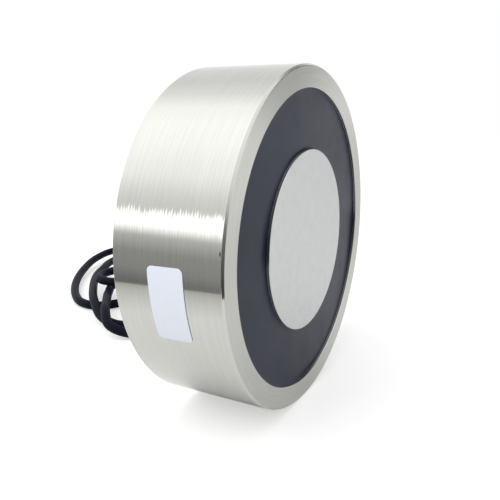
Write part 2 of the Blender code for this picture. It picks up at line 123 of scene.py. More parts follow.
inside_wall = about_axis(START_RADIUS, EXIT_ANGLE, EXIT_Y)
at_wall = about_axis(EXIT_RADIUS, EXIT_ANGLE, EXIT_Y)
at_boot_tip = about_axis(BOOT_TIP_RADIUS, EXIT_ANGLE, EXIT_Y)
past_boot = about_axis(BOOT_TIP_RADIUS + CABLE_DIAMETER, EXIT_ANGLE, EXIT_Y)
CABLE_ROUTE = [inside_wall, at_wall, at_boot_tip, past_boot] + [Vector(spot) for spot in (
    (0.0725, 0.0042, 0.0031), (0.083, 0.009, 0.0025), (0.0915, 0.019, 0.0025),
    (0.097, 0.033, 0.0025), (0.1015, 0.05, 0.0025), (0.107, 0.067, 0.0025),
    (0.1145, 0.084, 0.0025), (0.125, 0.102, 0.0025), (0.1355, 0.1215, 0.003),
    (0.1405, 0.1465, 0.005), (0.1365, 0.169, 0.0065), (0.124, 0.182, 0.0065),
    (0.105, 0.181, 0.0055), (0.081, 0.1705, 0.004), (0.059, 0.1555, 0.003),
    (0.0425, 0.139, 0.0025), (0.0355, 0.1275, 0.0025), (0.0355, 0.117, 0.0025),
    (0.044, 0.11, 0.0025), (0.06, 0.108, 0.0025), (0.08, 0.11, 0.0025), (0.099, 0.12, 0.0025),
    (0.113, 0.136, 0.0035), (0.1175, 0.152, 0.0055), (0.109, 0.162, 0.007),
    (0.096, 0.1605, 0.0072), (0.082, 0.154, 0.0072), (0.067, 0.146, 0.0072),
    (0.047, 0.13, 0.0075), (0.029, 0.1125, 0.0072), (0.02, 0.0995, 0.004),
    (0.0185, 0.088, 0.0025), (0.026, 0.0775, 0.0025), (0.042, 0.076, 0.0025),
    (0.06, 0.0855, 0.004), (0.073, 0.101, 0.0072), (0.0728, 0.1175, 0.0073),
    (0.0585, 0.124, 0.0074), (0.042, 0.1145, 0.0082), (0.0275, 0.1028, 0.0096),
    (0.0155, 0.093, 0.0096), (0.0088, 0.0845, 0.006), (0.012, 0.075, 0.0029),
    (0.026, 0.0685, 0.0025), (0.046, 0.07, 0.0025), (0.0695, 0.0825, 0.0025),
    (0.088, 0.095, 0.0045), (0.093, 0.109, 0.0075), (0.083, 0.122, 0.0105),
    (0.07, 0.1297, 0.0126), (0.0575, 0.1312, 0.0129), (0.048, 0.1253, 0.0129),
    (0.0477, 0.1147, 0.0129), (0.056, 0.107, 0.0129), (0.07, 0.102, 0.0127),
    (0.09, 0.0965, 0.011), (0.105, 0.0915, 0.0086), (0.117, 0.0845, 0.0073),
    (0.128, 0.0755, 0.0048), (0.1385, 0.065, 0.0025),
)]

# %% A smooth curve through chosen points


def between(p0, p1, p2, p3, share):
    """The point at share of the way from p1 to p2, on a centripetal curve through them."""
    t1 = math.sqrt((p1 - p0).length)
    t2 = t1 + math.sqrt((p2 - p1).length)
    t3 = t2 + math.sqrt((p3 - p2).length)
    t = t1 + share * (t2 - t1)
    a1 = p0.lerp(p1, t / t1)
    a2 = p1.lerp(p2, (t - t1) / (t2 - t1))
    a3 = p2.lerp(p3, (t - t2) / (t3 - t2))
    b1 = a1.lerp(a2, t / t2)
    b2 = a2.lerp(a3, (t - t1) / (t3 - t1))
    return b1.lerp(b2, (t - t1) / (t2 - t1))


def smooth_line(route, count):
    """count points, evenly spaced along one smooth curve through the points of route."""
    ends = [2 * route[0] - route[1], *route, 2 * route[-1] - route[-2]]
    fine = []
    for p0, p1, p2, p3 in zip(ends, ends[1:], ends[2:], ends[3:]):
        fine += [between(p0, p1, p2, p3, step / CURVE_STEPS) for step in range(CURVE_STEPS)]
    fine.append(route[-1])
    reached = [0.0]
    for before, after in zip(fine, fine[1:]):
        reached.append(reached[-1] + (after - before).length)
    line = []
    piece = 0
    for index in range(count):
        wanted = reached[-1] * index / (count - 1)
        while piece < len(fine) - 2 and reached[piece + 1] < wanted:
            piece += 1
        share = (wanted - reached[piece]) / (reached[piece + 1] - reached[piece])
        line.append(fine[piece].lerp(fine[piece + 1], min(share, 1.0)))
    return line


def line_length(line):
    return sum((after - before).length for before, after in zip(line, line[1:]))


cable_line = smooth_line(CABLE_ROUTE, CABLE_POINTS)
print("cable:", round(line_length(cable_line), 3), "m")

# %% [markdown]
# ## Finishes and how they are built
# Each finish starts from one Principled shader. Colours are written as the sRGB hex codes that
# a colour picker shows, and one function turns them into the linear numbers that the renderer
# works with. A second small function adds a node with its settings and links, so a finish
# reads as a list of steps.

# %% Colour and node helpers


def linear(hex_code):
    """An sRGB hex code such as '#CBCBC6' as a linear colour with full alpha."""
    channels = [int(hex_code[i:i + 2], 16) / 255 for i in (1, 3, 5)]
    curve = [c / 12.92 if c <= 0.04045 else ((c + 0.055) / 1.055) ** 2.4 for c in channels]
    return (*curve, 1.0)


def add_node(tree, kind, inputs=None, **settings):
    """Add a node to the tree. inputs are values, or sockets to link from."""
    made = tree.nodes.new(kind)
    for name, value in settings.items():
        setattr(made, name, value)
    for key, value in (inputs or {}).items():
        if isinstance(value, bpy.types.NodeSocket):
            tree.links.new(value, made.inputs[key])
        else:
            made.inputs[key].default_value = value
    return made


def new_finish(name, hex_code, roughness, metallic=0.0, specular=0.5):
    """A material with its Principled shader, ready for more nodes: material, tree, shader."""
    made = bpy.data.materials.new(name)
    made.use_nodes = True
    shader = made.node_tree.nodes["Principled BSDF"]
    shader.inputs["Base Color"].default_value = linear(hex_code)
    shader.inputs["Roughness"].default_value = roughness
    shader.inputs["Metallic"].default_value = metallic
    shader.inputs["Specular IOR Level"].default_value = specular
    return made, made.node_tree, shader


# %% [markdown]
# ## Moulded and extruded plastics
# Cable jacket, core insulation, rubber boot, nylon bobbin and shrunk sleeving are all plastics
# whose colour goes right through. What tells them apart is gloss and surface: an extruder's
# die leaves a soft satin, a mould a finer grain. One function makes them from a colour, a
# roughness and the size of the grain, in real millimetres. The grain moves the roughness and
# the height a little, and a slower noise shifts the colour, as handling does.

# %% Plastic finish


def plastic(name, hex_code, worn_hex, roughness, grain_mm, depth_mm, specular=0.5):
    """A plastic: two near colours mixed by a slow noise, and a fine grain in gloss and height."""
    made, tree, shader = new_finish(name, hex_code, roughness, specular=specular)
    where = add_node(tree, "ShaderNodeTexCoord").outputs["Object"]
    slow = add_node(tree, "ShaderNodeTexNoise", {
        "Vector": where, "Scale": 1000 / (12 * grain_mm), "Detail": 3.0})
    tone = add_node(tree, "ShaderNodeMix", {
        "Factor": slow.outputs["Fac"], "A": linear(hex_code), "B": linear(worn_hex)},
        data_type="RGBA")
    grain = add_node(tree, "ShaderNodeTexNoise", {
        "Vector": where, "Scale": 1000 / grain_mm, "Detail": 2.0})
    gloss = add_node(tree, "ShaderNodeMapRange", {
        "Value": grain.outputs["Fac"], "From Min": 0.3, "From Max": 0.7,
        "To Min": roughness - 0.06, "To Max": roughness + 0.06})
    height = add_node(tree, "ShaderNodeBump", {
        "Height": grain.outputs["Fac"], "Strength": 0.6, "Distance": depth_mm / 1000})
    tree.links.new(tone.outputs["Result"], shader.inputs["Base Color"])
    tree.links.new(gloss.outputs["Result"], shader.inputs["Roughness"])
    tree.links.new(height.outputs["Normal"], shader.inputs["Normal"])
    return made


jacket_pvc = plastic("extruded black PVC jacket", "#12151E", "#191C28", 0.42, 0.5, 0.02, 0.04)
red_pvc = plastic("extruded red PVC core", "#A31A17", "#B3231C", 0.36, 0.3, 0.01)
black_pvc = plastic("extruded black PVC core", "#18181A", "#212124", 0.36, 0.3, 0.01)
boot_rubber = plastic("moulded black rubber", "#151518", "#1E1E22", 0.62, 0.35, 0.03, 0.35)
bobbin_nylon = plastic("moulded white nylon", "#E6E2D6", "#DCD7C8", 0.45, 0.6, 0.02)
sleeve_polyolefin = plastic("shrunk black polyolefin", "#1C1C1E", "#262628", 0.5, 0.8, 0.05)

# %% [markdown]
# ## Putting a piece on the magnet
# Each new piece takes a finish, rides on the magnet's one body, and takes the place of the solid
# that it stands for.

# %% Place a piece


def put_on(piece, finish, slot, *solids):
    """Give the piece its finish and let it stand for these solids."""
    piece.data.materials.append(finish)
    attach(piece, "root")
    if solids:
        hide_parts(*solids)


# %% [markdown]
# ## Cable jacket
# The jacket is a round tube of soft PVC. A curve with a round bevel keeps its middle line, so
# its length and thickness stay exact, and enough points and sides make it smooth.

# %% The jacket


def cord_curve(name, line, diameter, resolution):
    """A round cord along the line, as a curve with a bevel and closed ends."""
    curve = bpy.data.curves.new(name, "CURVE")
    curve.dimensions = "3D"
    curve.bevel_depth = diameter / 2
    curve.bevel_resolution = resolution
    curve.use_fill_caps = True
    spline = curve.splines.new("POLY")
    spline.points.add(len(line) - 1)
    for spot, point in zip(spline.points, line):
        spot.co = (*point, 1.0)
    spline.use_smooth = True
    made = bpy.data.objects.new(name, curve)
    bpy.context.scene.collection.objects.link(made)
    return made


jacket = cord_curve("cable", cable_line, CABLE_DIAMETER, 10)
put_on(jacket, jacket_pvc, "black_cable_jacket", "cable_jacket")
print("jacket:", CABLE_POINTS, "points,", round(1000 * CABLE_DIAMETER, 1), "mm thick")

# %% [markdown]
# ## Bared cores and tinned strands
# At its free end the jacket is stripped back, and two cores come out of it, spread, and lie on
# the floor. Each is stripped once more to show its copper strands, twisted and dipped in
# solder. A twisted strand is a disc that is spun about the core's middle while it moves along
# it, so bmesh's spin with a step along the axis makes it in one call.

# %% The two cores
CORE_DIAMETER = 0.0016
CORE_SPACING = 0.0020
SEAT_GAP = 0.0003
TAIL_POINTS = 60
TAIL_A = ((0.005, -0.0022, 0.0017), (0.0105, -0.0044, 0.001), (0.0165, -0.0054, 0.001),
          (0.023, -0.0048, 0.001))
TAIL_B = ((0.005, 0.0024, 0.0017), (0.0095, 0.006, 0.001), (0.014, 0.0112, 0.001),
          (0.0175, 0.0172, 0.001))

cable_end = cable_line[-1]
end_along = (cable_end - cable_line[-2]).normalized()
end_right = end_along.cross(Vector((0.0, 0.0, 1.0))).normalized()


def tail_line(side, spots):
    """A core's line past the jacket's end; spots are along, to the right, and the height."""
    route = [cable_end + side * end_right]
    for ahead, aside, height in spots:
        spot = cable_end + ahead * end_along + aside * end_right
        spot.z = height
        route.append(spot)
    return smooth_line(route, TAIL_POINTS)


line_a = tail_line(-CORE_SPACING / 2, TAIL_A)
line_b = tail_line(CORE_SPACING / 2, TAIL_B)
core_a = cord_curve("cable_core_a", line_a, CORE_DIAMETER, 6)
core_b = cord_curve("cable_core_b", line_b, CORE_DIAMETER, 6)
put_on(core_a, red_pvc, "red_core_insulation", "tail_core_a")
put_on(core_b, black_pvc, "black_core_insulation", "tail_core_b")

# %% Tinned copper
# Solder leaves tin over the strands: bright, a little uneven, and duller where it pooled.
POOL_MM = 2 / 3


def tinned_copper():
    made, tree, shader = new_finish("solder-dipped copper", "#C9C8C3", 0.3, metallic=1.0)
    where = add_node(tree, "ShaderNodeTexCoord").outputs["Object"]
    pools = add_node(tree, "ShaderNodeTexNoise", {
        "Vector": where, "Scale": 1000 / POOL_MM, "Detail": 3.0})
    gloss = add_node(tree, "ShaderNodeMapRange", {
        "Value": pools.outputs["Fac"], "To Min": 0.18, "To Max": 0.45})
    tone = add_node(tree, "ShaderNodeMix", {
        "Factor": pools.outputs["Fac"], "A": linear("#D2D1CD"), "B": linear("#B5B3AC")},
        data_type="RGBA")
    tree.links.new(gloss.outputs["Result"], shader.inputs["Roughness"])
    tree.links.new(tone.outputs["Result"], shader.inputs["Base Color"])
    return made


tinned = tinned_copper()

# %% Twisted strands
TIP_LENGTH = 0.006
TIP_DIAMETER = 0.0011
STRANDS = 6
STRAND_SIDES = 10
TWIST = math.radians(200)
TWIST_STEPS = 24
MERGE = 0.000002
SHARP_CORNER = math.radians(35)


def mesh_object(name, shape):
    """Close a bmesh's seams and make it an object: smooth, but for its sharp corners."""
    bmesh.ops.remove_doubles(shape, verts=shape.verts, dist=MERGE)
    bmesh.ops.recalc_face_normals(shape, faces=shape.faces)
    for face in shape.faces:
        face.smooth = True
    mesh = bpy.data.meshes.new(name)
    shape.to_mesh(mesh)
    shape.free()
    mesh.set_sharp_from_angle(angle=SHARP_CORNER)
    made = bpy.data.objects.new(name, mesh)
    bpy.context.scene.collection.objects.link(made)
    return made


def strand_bundle(name, line):
    """One straight strand and six twisted round it, past the end of a core's line."""
    heading = (line[-1] - line[-2]).normalized()
    side = heading.orthogonal().normalized()
    turn = heading.to_track_quat("Z", "Y").to_matrix().to_4x4()
    radius = TIP_DIAMETER / 6
    shape = bmesh.new()
    for strand in range(STRANDS + 1):
        around = Matrix.Rotation(2 * math.pi * strand / STRANDS, 3, heading) @ side
        out = around * 2 * radius if strand < STRANDS else Vector()
        disc = bmesh.ops.create_circle(
            shape, cap_ends=True, segments=STRAND_SIDES, radius=radius,
            matrix=Matrix.Translation(line[-1] + out) @ turn)
        face = disc["verts"][0].link_faces[0]
        bmesh.ops.spin(
            shape, geom=[*disc["verts"], *face.edges, face], cent=line[-1], axis=heading,
            dvec=heading * TIP_LENGTH / TWIST_STEPS, angle=TWIST, steps=TWIST_STEPS)
    return mesh_object(name, shape)


tip_a = strand_bundle("tinned_strands_a", line_a)
tip_b = strand_bundle("tinned_strands_b", line_b)
put_on(tip_a, tinned, "tinned_copper", "tail_tip_a")
put_on(tip_b, tinned, "tinned_copper", "tail_tip_b")
print("strands a:", len(tip_a.data.polygons), "faces")

# %% [markdown]
# ## Turned shapes
# Boot, pot and resin are all round about an axis. Each is drawn as half a section: a few
# corner points, each with the radius that rounds it off. Bevelling a single vertex of that
# line turns a corner into an arc, and one full spin makes the solid. The faces keep flat
# next to a rounded edge because the normals are weighted by the size of the faces.

# %% Spin a profile
ROUND_SEGMENTS = 5


def spun(profile, centre, axis, steps, closed=True):
    """A bmesh spun about the axis. The profile's points are (radius, along, rounding)."""
    shape = bmesh.new()
    side = axis.orthogonal().normalized()
    corners = [shape.verts.new(centre + r * side + along * axis) for r, along, _ in profile]
    for pair in zip(corners, corners[1:]):
        shape.edges.new(pair)
    if closed:
        shape.edges.new((corners[-1], corners[0]))
    for corner, (_, _, rounding) in zip(corners, profile):
        if rounding:
            bmesh.ops.bevel(
                shape, geom=[corner], offset=rounding, segments=ROUND_SEGMENTS, profile=0.5,
                affect="VERTICES", material=-1)
    bmesh.ops.spin(
        shape, geom=[*shape.verts, *shape.edges], cent=centre, axis=axis,
        angle=2 * math.pi, steps=steps, use_merge=True)
    return shape


def keep_faces_flat(piece):
    """Weight the normals by area, so that a large face stays flat beside a small round."""
    weighted = piece.modifiers.new("weighted normals", "WEIGHTED_NORMAL")
    weighted.weight = 100
    weighted.keep_sharp = True


# %% [markdown]
# ## Cable boot
# The cable leaves the steel wall through a rubber bush with a flange outside and a tapered
# sleeve, which keeps it from being bent sharply at the wall.

# %% The boot
GROOVE_RADIUS = 0.0523
BOOT_BORE_RADIUS = 0.00235
BOOT_BUSH_RADIUS = 0.0036
BOOT_TIP_OUTER = 0.0033
SHOULDER_RADIUS = 0.0041
SHOULDER_REACH = 0.00396
NECK_RADIUS = 0.0046
FLANGE_RADIUS = 0.0053
FLANGE_LIFT = 0.0001
FLANGE_SEAT = POT_RADIUS + FLANGE_LIFT
FLANGE_THICKNESS = 0.0018
BOOT_STEPS = 48

exit_way = (at_wall - about_axis(0.0, EXIT_ANGLE, EXIT_Y)).normalized()
boot_profile = (
    (BOOT_BORE_RADIUS, BOOT_TIP_RADIUS, 0.0002),
    (BOOT_TIP_OUTER, BOOT_TIP_RADIUS, 0.0004),
    (SHOULDER_RADIUS, FLANGE_SEAT + SHOULDER_REACH, 0.0012),
    (NECK_RADIUS, FLANGE_SEAT + FLANGE_THICKNESS, 0.0004),
    (FLANGE_RADIUS, FLANGE_SEAT + FLANGE_THICKNESS, 0.0004),
    (FLANGE_RADIUS, FLANGE_SEAT, 0.0003),
    (BOOT_BUSH_RADIUS, FLANGE_SEAT, 0.0),
    (BOOT_BUSH_RADIUS, GROOVE_RADIUS + SEAT_GAP, 0.0003),
    (BOOT_BORE_RADIUS, GROOVE_RADIUS + SEAT_GAP, 0.0),
)
boot_centre = about_axis(0.0, EXIT_ANGLE, EXIT_Y)
boot = mesh_object("boot", spun(boot_profile, boot_centre, exit_way, BOOT_STEPS))
put_on(boot, boot_rubber, "black_rubber", "cable_boot")
print("boot:", len(boot.data.polygons), "faces")

# %% [markdown]
# ## The steel pot
# The pot is turned from one bar: a pole in the middle, a wall round it, and a groove between
# them that the coil is set in. The lathe breaks its edges, and the front rim has a small
# chamfer. A hole through the wall takes the boot. A boolean cuts it, because no bmesh
# operator drills, and two extra loops near the hole keep the cut away from the rest of the
# wall.

# %% The pot
POLE_RADIUS = 0.032
BASE_THICKNESS = 0.013
GROOVE_FLOOR_Y = BACK_Y - BASE_THICKNESS
FRONT_CHAMFER = 0.0007
CHAMFER_ROUND = 0.00012
BACK_ROUND = 0.0003
EDGE_ROUND = 0.00025
GROOVE_ROUND = 0.0008
EXIT_HOLE_RADIUS = 0.0039
EXIT_HOLE_SIDES = 48
HOLE_LOOP_ROOM = 0.0055
DRILL_RADIUS = 0.0051
BOLT_HOLE_DEPTH = 0.016
BOLT_CHAMFER = 0.0003
THREAD_ROOT_RADIUS = 0.00605
THREAD_PITCH = 0.00175
THREAD_TURNS = 7
THREAD_END = 0.0145
DRILL_SLOPE = math.radians(31)
DRILL_POINT = DRILL_RADIUS * math.tan(DRILL_SLOPE)
POT_STEPS = 288

pot_profile = (
    (0.0, FACE_Y, 0.0),
    (POLE_RADIUS, FACE_Y, EDGE_ROUND),
    (POLE_RADIUS, GROOVE_FLOOR_Y, GROOVE_ROUND),
    (GROOVE_RADIUS, GROOVE_FLOOR_Y, GROOVE_ROUND),
    (GROOVE_RADIUS, FACE_Y, EDGE_ROUND),
    (POT_RADIUS - FRONT_CHAMFER, FACE_Y, CHAMFER_ROUND),
    (POT_RADIUS, FACE_Y + FRONT_CHAMFER, CHAMFER_ROUND),
    (POT_RADIUS, EXIT_Y - HOLE_LOOP_ROOM, 0.0),
    (POT_RADIUS, EXIT_Y + HOLE_LOOP_ROOM, 0.0),
    (POT_RADIUS, BACK_Y, BACK_ROUND),
    (THREAD_ROOT_RADIUS + BOLT_CHAMFER, BACK_Y, 0.0),
    (THREAD_ROOT_RADIUS, BACK_Y - BOLT_CHAMFER, 0.0),
    (THREAD_ROOT_RADIUS, BACK_Y - THREAD_END, 0.0),
    (DRILL_RADIUS, BACK_Y - THREAD_END, 0.0),
    (DRILL_RADIUS, BACK_Y - BOLT_HOLE_DEPTH, 0.0),
    (0.0, BACK_Y - BOLT_HOLE_DEPTH - DRILL_POINT, 0.0),
)
pot = mesh_object("steel_pot", spun(pot_profile, AXIS_SPOT, ALONG_AXIS, POT_STEPS, closed=False))
print("pot:", len(pot.data.polygons), "faces")

# %% Hole for the boot
drill = bmesh.new()
drill_length = 2 * (POT_RADIUS - GROOVE_RADIUS)
drill_middle = about_axis((POT_RADIUS + GROOVE_RADIUS) / 2, EXIT_ANGLE, EXIT_Y)
bmesh.ops.create_cone(
    drill, cap_ends=True, segments=EXIT_HOLE_SIDES, depth=drill_length,
    radius1=EXIT_HOLE_RADIUS, radius2=EXIT_HOLE_RADIUS,
    matrix=Matrix.Translation(drill_middle) @ exit_way.to_track_quat("Z", "Y").to_matrix().to_4x4())
drill_bit = mesh_object("exit_drill", drill)
cut = pot.modifiers.new("exit hole", "BOOLEAN")
cut.operation = "DIFFERENCE"
cut.solver = "EXACT"
cut.object = drill_bit
drilled = bpy.data.meshes.new_from_object(
    pot.evaluated_get(bpy.context.evaluated_depsgraph_get()))
pot.modifiers.clear()
pot.data = drilled
bpy.data.objects.remove(drill_bit)
pot.data.set_sharp_from_angle(angle=SHARP_CORNER)
keep_faces_flat(pot)
print("drilled pot:", len(pot.data.polygons), "faces")

# %% [markdown]
# ## Thread of the mounting hole
# The hole in the back is tapped M12, with a pitch of 1.75 mm. A tap leaves a ridge that winds
# up the wall. Its section is a flat-topped tooth, and bmesh's spin, with a step along the axis,
# winds that face into one closed ridge. The pot's hole is as wide as the thread's root, so the
# ridge stands in it. Turn and step both follow the axis, so the thread is right-handed.

# %% The thread
THREAD_STEPS = 48
HALF_FOOT = 0.00078
HALF_CREST = 0.00012
TOOTH_SINK = 0.0001

tooth_section = (
    (THREAD_ROOT_RADIUS + TOOTH_SINK, 0.0),
    (DRILL_RADIUS, HALF_FOOT - HALF_CREST),
    (DRILL_RADIUS, HALF_FOOT + HALF_CREST),
    (THREAD_ROOT_RADIUS + TOOTH_SINK, 2 * HALF_FOOT),
)
ridge = bmesh.new()
tooth = [ridge.verts.new(about_axis(radius, 0.0, BACK_Y - THREAD_END + along))
         for radius, along in tooth_section]
tooth_face = ridge.faces.new(tooth)
bmesh.ops.spin(
    ridge, geom=[*tooth, *tooth_face.edges, tooth_face], cent=AXIS_SPOT, axis=ALONG_AXIS,
    dvec=ALONG_AXIS * THREAD_PITCH / THREAD_STEPS, angle=2 * math.pi * THREAD_TURNS,
    steps=THREAD_STEPS * THREAD_TURNS)
thread = mesh_object("tapped_thread", ridge)
print("thread:", len(thread.data.polygons), "faces")

# %% [markdown]
# ## Nickel-plated steel
# Bright nickel over lathe-turned steel mirrors the studio, but the tool's fine marks run round
# the axis and smear each reflection across them: along the axis on the side, outwards on a
# face. That is anisotropy, and its tangent is worked out from the place on the piece, so no
# UV map is needed. The tool also chattered, which tips the surface a little from one mark to
# the next and frays the edges of the reflections. On the side it chattered most in a band
# above the middle, where a regular wave along the axis gives a reflection's edge its teeth.
# Real marks are under 0.1 mm apart. They are drawn several times as coarse here, so that they
# show.

# %% Turning marks and chatter
MARKS_MM = 0.5
MARK_LENGTH_MM = 25.0
TOOTH_MM = 0.95
TOOTH_TILT = 0.012
# Heights above the axis where the chatter sets in, is full, starts to fade and has faded.
CHATTER_HEIGHTS = (0.009, 0.018, 0.022, 0.040)
CHATTER_LEFT = 0.12


def turning_marks(tree, spot, across):
    """Three random shades that change from mark to mark, and slowly along each mark."""
    marked = add_node(tree, "ShaderNodeCombineXYZ", {
        "X": spot.outputs["X"], "Y": across, "Z": spot.outputs["Z"]}).outputs["Vector"]
    stretch = (1000 / MARK_LENGTH_MM, 1000 / MARKS_MM, 1000 / MARK_LENGTH_MM)
    stretched = add_node(tree, "ShaderNodeVectorMath", {
        0: marked, 1: stretch}, operation="MULTIPLY").outputs["Vector"]
    marks = add_node(tree, "ShaderNodeTexNoise", {
        "Vector": stretched, "Scale": 1.0, "Detail": 2.0})
    return add_node(tree, "ShaderNodeSeparateColor", {"Color": marks.outputs["Color"]})


def side_chatter(tree, spot):
    """The side's wave along the axis, and the strength of the chatter at each height."""
    sets_in, full, fades, faded = CHATTER_HEIGHTS
    starts = add_node(tree, "ShaderNodeMapRange", {
        "Value": spot.outputs["Z"], "From Min": sets_in, "From Max": full},
        interpolation_type="SMOOTHSTEP").outputs["Result"]
    stops = add_node(tree, "ShaderNodeMapRange", {
        "Value": spot.outputs["Z"], "From Min": faded, "From Max": fades,
        "To Min": CHATTER_LEFT}, interpolation_type="SMOOTHSTEP").outputs["Result"]
    strength = add_node(tree, "ShaderNodeMath", {
        0: starts, 1: stops}, operation="MULTIPLY").outputs["Value"]
    phase = add_node(tree, "ShaderNodeMath", {
        0: spot.outputs["Y"], 1: 2000 * math.pi / TOOTH_MM},
        operation="MULTIPLY").outputs["Value"]
    wave = add_node(tree, "ShaderNodeMath", {0: phase}, operation="SINE").outputs["Value"]
    teeth = add_node(tree, "ShaderNodeMath", {
        0: wave, 1: TOOTH_TILT}, operation="MULTIPLY").outputs["Value"]
    return teeth, strength


# %% A pit in the plating
# One small dark spot is painted by the front rim, where the plating has a pit.
PIT_SPOT = about_axis(POT_RADIUS, 172.6, -0.0178)
PIT_HALF_WIDTH = 0.0003
PIT_HALF_HEIGHT = 0.0009


def with_pit(tree, where, tone):
    """The tone, darkened at the pit. The wall is upright there, so Z runs along the marks."""
    away = add_node(tree, "ShaderNodeVectorMath", {
        0: where, 1: PIT_SPOT}, operation="SUBTRACT").outputs["Vector"]
    shaped = add_node(tree, "ShaderNodeVectorMath", {
        0: away, 1: (1 / PIT_HALF_HEIGHT, 1 / PIT_HALF_WIDTH, 1 / PIT_HALF_HEIGHT)},
        operation="MULTIPLY").outputs["Vector"]
    reach = add_node(tree, "ShaderNodeVectorMath", {
        0: shaped}, operation="LENGTH").outputs["Value"]
    depth = add_node(tree, "ShaderNodeMapRange", {
        "Value": reach, "From Min": 1.0, "From Max": 0.5}).outputs["Result"]
    return add_node(tree, "ShaderNodeMix", {
        "Factor": depth, "A": tone, "B": linear("#5A5A56")}, data_type="RGBA").outputs["Result"]


# %% Turned nickel


def turned_nickel(name, across_face, roughness, anisotropy, chatter):
    """Nickel over turning marks: across_face is True for an end face, False for the side."""
    made, tree, shader = new_finish(name, "#CBCBC7", roughness, metallic=1.0)
    where = add_node(tree, "ShaderNodeTexCoord").outputs["Object"]
    facing = add_node(tree, "ShaderNodeNewGeometry").outputs["Normal"]
    from_axis = add_node(tree, "ShaderNodeVectorMath", {
        0: where, 1: AXIS_SPOT}, operation="SUBTRACT").outputs["Vector"]
    crossed = add_node(tree, "ShaderNodeVectorMath", {
        0: ALONG_AXIS, 1: from_axis}, operation="CROSS_PRODUCT").outputs["Vector"]
    round_way = add_node(tree, "ShaderNodeVectorMath", {
        0: crossed}, operation="NORMALIZE").outputs["Vector"]
    across_way = add_node(tree, "ShaderNodeVectorMath", {
        0: round_way, 1: facing}, operation="CROSS_PRODUCT").outputs["Vector"]
    spot = add_node(tree, "ShaderNodeSeparateXYZ", {"Vector": from_axis})
    if across_face:
        across = add_node(tree, "ShaderNodeVectorMath", {
            0: crossed}, operation="LENGTH").outputs["Value"]
        teeth, strength = 0.0, 1.0
    else:
        across = spot.outputs["Y"]
        teeth, strength = side_chatter(tree, spot)
    shades = turning_marks(tree, spot, across)
    tips = []
    for shade, way, amount, wave in (
            ("Red", round_way, chatter, teeth), ("Green", across_way, 2 * chatter, 0.0)):
        tip = add_node(tree, "ShaderNodeMath", {
            0: shades.outputs[shade], 1: 0.5}, operation="SUBTRACT").outputs["Value"]
        waved = add_node(tree, "ShaderNodeMath", {
            0: tip, 1: amount, 2: wave}, operation="MULTIPLY_ADD").outputs["Value"]
        scaled = add_node(tree, "ShaderNodeMath", {
            0: waved, 1: strength}, operation="MULTIPLY").outputs["Value"]
        tips.append(add_node(tree, "ShaderNodeVectorMath", {
            0: way, "Scale": scaled}, operation="SCALE").outputs["Vector"])
    tipped = add_node(tree, "ShaderNodeVectorMath", {
        0: tips[0], 1: tips[1]}, operation="ADD").outputs["Vector"]
    turned_out = add_node(tree, "ShaderNodeVectorMath", {
        0: facing, 1: tipped}, operation="ADD").outputs["Vector"]
    normal = add_node(tree, "ShaderNodeVectorMath", {
        0: turned_out}, operation="NORMALIZE").outputs["Vector"]
    gloss = add_node(tree, "ShaderNodeMapRange", {
        "Value": shades.outputs["Blue"], "From Min": 0.3, "From Max": 0.7,
        "To Min": 0.97 * roughness, "To Max": 1.05 * roughness}).outputs["Result"]
    streaks = add_node(tree, "ShaderNodeMapRange", {
        "Value": shades.outputs["Blue"], "From Min": 0.35, "From Max": 0.65}).outputs["Result"]
    tone = add_node(tree, "ShaderNodeMix", {
        "Factor": streaks, "A": linear("#CECEC9"), "B": linear("#C8C8C4")},
        data_type="RGBA").outputs["Result"]
    if not across_face:
        tone = with_pit(tree, where, tone)
    shader.inputs["Anisotropic"].default_value = anisotropy
    tree.links.new(tone, shader.inputs["Base Color"])
    tree.links.new(gloss, shader.inputs["Roughness"])
    tree.links.new(normal, shader.inputs["Normal"])
    tree.links.new(across_way, shader.inputs["Tangent"])
    return made


side_nickel = turned_nickel("turned nickel side", False, 0.11, 0.82, 0.1)
face_nickel = turned_nickel("turned nickel face", True, 0.35, 0.82, 0.05)
print("side:", len(side_nickel.node_tree.nodes), "nodes, face:", len(face_nickel.node_tree.nodes))

# %% [markdown]
# ## The pole's matt face
# The pole is faced and then blasted before plating, so it has no direction: an even satin with
# a faint mottling where the plating took a little differently.

# %% Matt nickel
MOTTLE_MM = 3.85
BLAST_GRAIN_MM = 0.4


def matt_nickel():
    made, tree, shader = new_finish("blasted nickel", "#CED0CF", 0.4, metallic=1.0)
    where = add_node(tree, "ShaderNodeTexCoord").outputs["Object"]
    mottle = add_node(tree, "ShaderNodeTexNoise", {
        "Vector": where, "Scale": 1000 / MOTTLE_MM, "Detail": 4.0, "Roughness": 0.6})
    grain = add_node(tree, "ShaderNodeTexNoise", {
        "Vector": where, "Scale": 1000 / BLAST_GRAIN_MM, "Detail": 2.0})
    tone = add_node(tree, "ShaderNodeMix", {
        "Factor": mottle.outputs["Fac"], "A": linear("#D2D4D3"), "B": linear("#CACCCB")},
        data_type="RGBA")
    gloss = add_node(tree, "ShaderNodeMapRange", {
        "Value": mottle.outputs["Fac"], "From Min": 0.3, "From Max": 0.7,
        "To Min": 0.36, "To Max": 0.44})
    height = add_node(tree, "ShaderNodeBump", {
        "Height": grain.outputs["Fac"], "Strength": 0.5, "Distance": 0.00002})
    tree.links.new(tone.outputs["Result"], shader.inputs["Base Color"])
    tree.links.new(gloss.outputs["Result"], shader.inputs["Roughness"])
    tree.links.new(height.outputs["Normal"], shader.inputs["Normal"])
    return made


pole_nickel = matt_nickel()

# %% Finish each face of the pot
# A face whose normal lies within 41 degrees of the axis is an end face; the rest is side.
FACED_COSINE = 0.75
END_SLOT = 1
POLE_SLOT = 2

